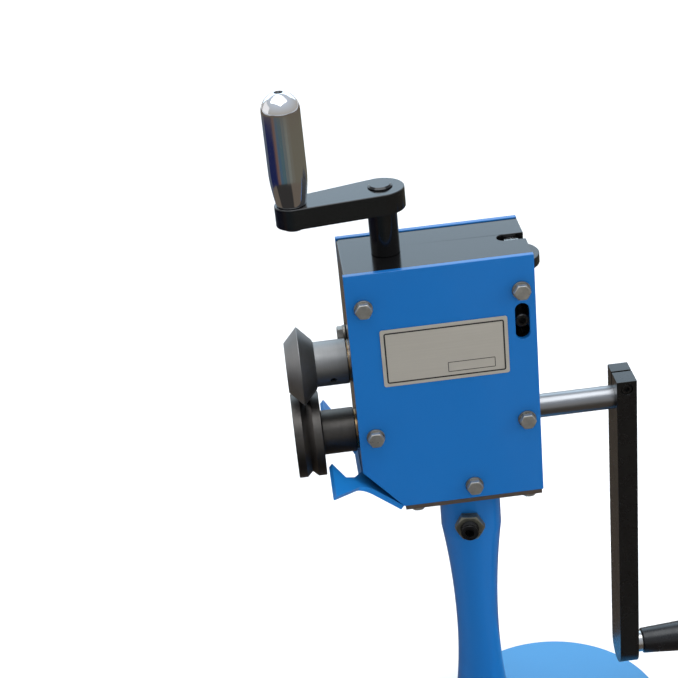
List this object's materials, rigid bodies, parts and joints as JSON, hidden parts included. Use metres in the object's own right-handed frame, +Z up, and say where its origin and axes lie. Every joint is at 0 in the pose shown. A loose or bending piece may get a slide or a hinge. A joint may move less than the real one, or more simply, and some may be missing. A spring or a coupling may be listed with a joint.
{
  "type": "hand-cranked sheet metal flanger",
  "caption": "Hand-cranked flanger: a V roll over a grooved roll on a gear head that swivels on a pedestal, with feed crank and sheet guide.",
  "frame": {"origin": "centre of the round base's underside", "axes": "+Z up, +X along both roll shafts towards the crank, -Y towards the operator"},
  "size_m": [0.4196, 0.216, 0.7052],
  "materials": {
    "blue_paint": "smooth gloss blue paint",
    "black_metal": "glossy black",
    "black_oxide": "satin black oxide",
    "roll_steel": "satin dark turned steel",
    "bright_steel": "bright ground steel",
    "gear_steel": "machined and oiled",
    "zinc": "zinc plated",
    "bronze": "bearing bronze",
    "chrome_plate": "polished chrome",
    "black_plastic": "moulded black",
    "plate_metal": "brushed bare name plate"
  },
  "bodies": {
    "stand": {"base_plate": "blue_paint", "foot_screws": "black_oxide", "column": "blue_paint", "lock_nut": "zinc"},
    "lock": {"lock_screw": "black_oxide"},
    "drive": {"drive_shaft": "bright_steel", "drive_keys": "bright_steel", "drive_roll": "roll_steel", "drive_set_screw": "black_oxide", "drive_end_bolt": "zinc", "drive_end_washer": "zinc", "drive_gear": "gear_steel", "gear_spacer": "bright_steel", "crank_arm": "black_oxide", "clamp_screw": "black_oxide", "grip_pin": "bright_steel", "grip_ferrule": "bright_steel"},
    "grip": {"crank_grip": "black_plastic"},
    "wheel": {"adjuster_wheel": "black_oxide"},
    "carriage": {"pivot_carriage": "bright_steel", "pivot_pin": "black_oxide"},
    "spindle": {"feed_spindle": "black_oxide", "stop_ring": "black_oxide", "stop_pin": "bright_steel", "feed_arm": "black_oxide", "handle_pin": "black_oxide"},
    "rocker": {"rocker_arm": "gear_steel", "rocker_front_bush": "bronze", "rocker_rear_bush": "bronze"},
    "nut": {"feed_nut": "bronze"},
    "press": {"press_shaft": "bright_steel", "press_keys": "bright_steel", "press_roll": "roll_steel", "press_set_screw": "black_oxide", "press_end_bolts": "zinc", "press_end_washers": "zinc", "press_gear": "gear_steel"},
    "handle": {"top_handle": "chrome_plate"},
    "head": {"front_plate": "blue_paint", "back_plate": "blue_paint", "guide_plate": "blue_paint", "top_plate": "black_metal", "left_block": "black_metal", "right_block": "black_metal", "bottom_plate": "black_metal", "chin_block": "black_metal", "foot_block": "black_metal", "guide_screws": "black_oxide", "stem_screw": "black_oxide", "head_stem": "bright_steel", "side_bolts": "zinc", "side_washers": "zinc", "bottom_bolts": "zinc", "left_bush": "bronze", "right_bush": "bronze", "name_plate": "plate_metal"}
  },
  "joints": [
    {"name": "head_swivel", "type": "hinge", "parent": "stand", "child": "head", "pos_m": [-0.072, 0, 0.314], "axis": [0, 0, 1], "range_deg": [-180, 180]},
    {"name": "lock_turn", "type": "hinge", "parent": "stand", "child": "lock", "pos_m": [-0.0778, -0.03502, 0.2793], "axis": [-0.1633, -0.9866, 0], "range_deg": [0, 540]},
    {"name": "crank_turn", "type": "hinge", "parent": "head", "child": "drive", "pos_m": [0, 0, 0.379], "axis": [1, 0, 0], "continuous": true},
    {"name": "grip_spin", "type": "hinge", "parent": "drive", "child": "grip", "pos_m": [0.14, 0, 0.097], "axis": [1, 0, 0], "continuous": true},
    {"name": "wheel_turn", "type": "hinge", "parent": "head", "child": "wheel", "pos_m": [-0.0215, 0, 0.529], "axis": [0, 0, 1], "range_deg": [-270, 30]},
    {"name": "carriage_slide", "type": "slide", "parent": "head", "child": "carriage", "axis": [0, 0, 1], "range_m": [-0.00015, 0.00131]},
    {"name": "feed_turn", "type": "hinge", "parent": "head", "child": "spindle", "pos_m": [-0.1295, 0, 0.549], "axis": [0, 0, 1], "range_deg": [-60, 1620]},
    {"name": "rocker_tilt", "type": "hinge", "parent": "carriage", "child": "rocker", "pos_m": [-0.022, 0, 0.489], "axis": [0, 1, 0], "range_deg": [-0.18, 4.8]},
    {"name": "nut_tilt", "type": "hinge", "parent": "rocker", "child": "nut", "pos_m": [-0.1295, 0, 0.484], "axis": [0, 1, 0], "range_deg": [-4.8, 0.18]},
    {"name": "press_turn", "type": "hinge", "parent": "rocker", "child": "press", "pos_m": [0, 0, 0.449], "axis": [1, 0, 0], "continuous": true},
    {"name": "handle_spin", "type": "hinge", "parent": "spindle", "child": "handle", "pos_m": [-0.20469, -0.01462, 0.65], "axis": [0, 0, 1], "continuous": true}
  ],
  "couplings": [
    {"joint": "press_turn", "follows": "crank_turn", "ratio": -1},
    {"joint": "rocker_tilt", "follows": "feed_turn", "ratio": 0.002961},
    {"joint": "nut_tilt", "follows": "feed_turn", "ratio": -0.002961},
    {"joint": "wheel_turn", "follows": "carriage_slide", "rad_per_m": -3590.4}
  ]
}
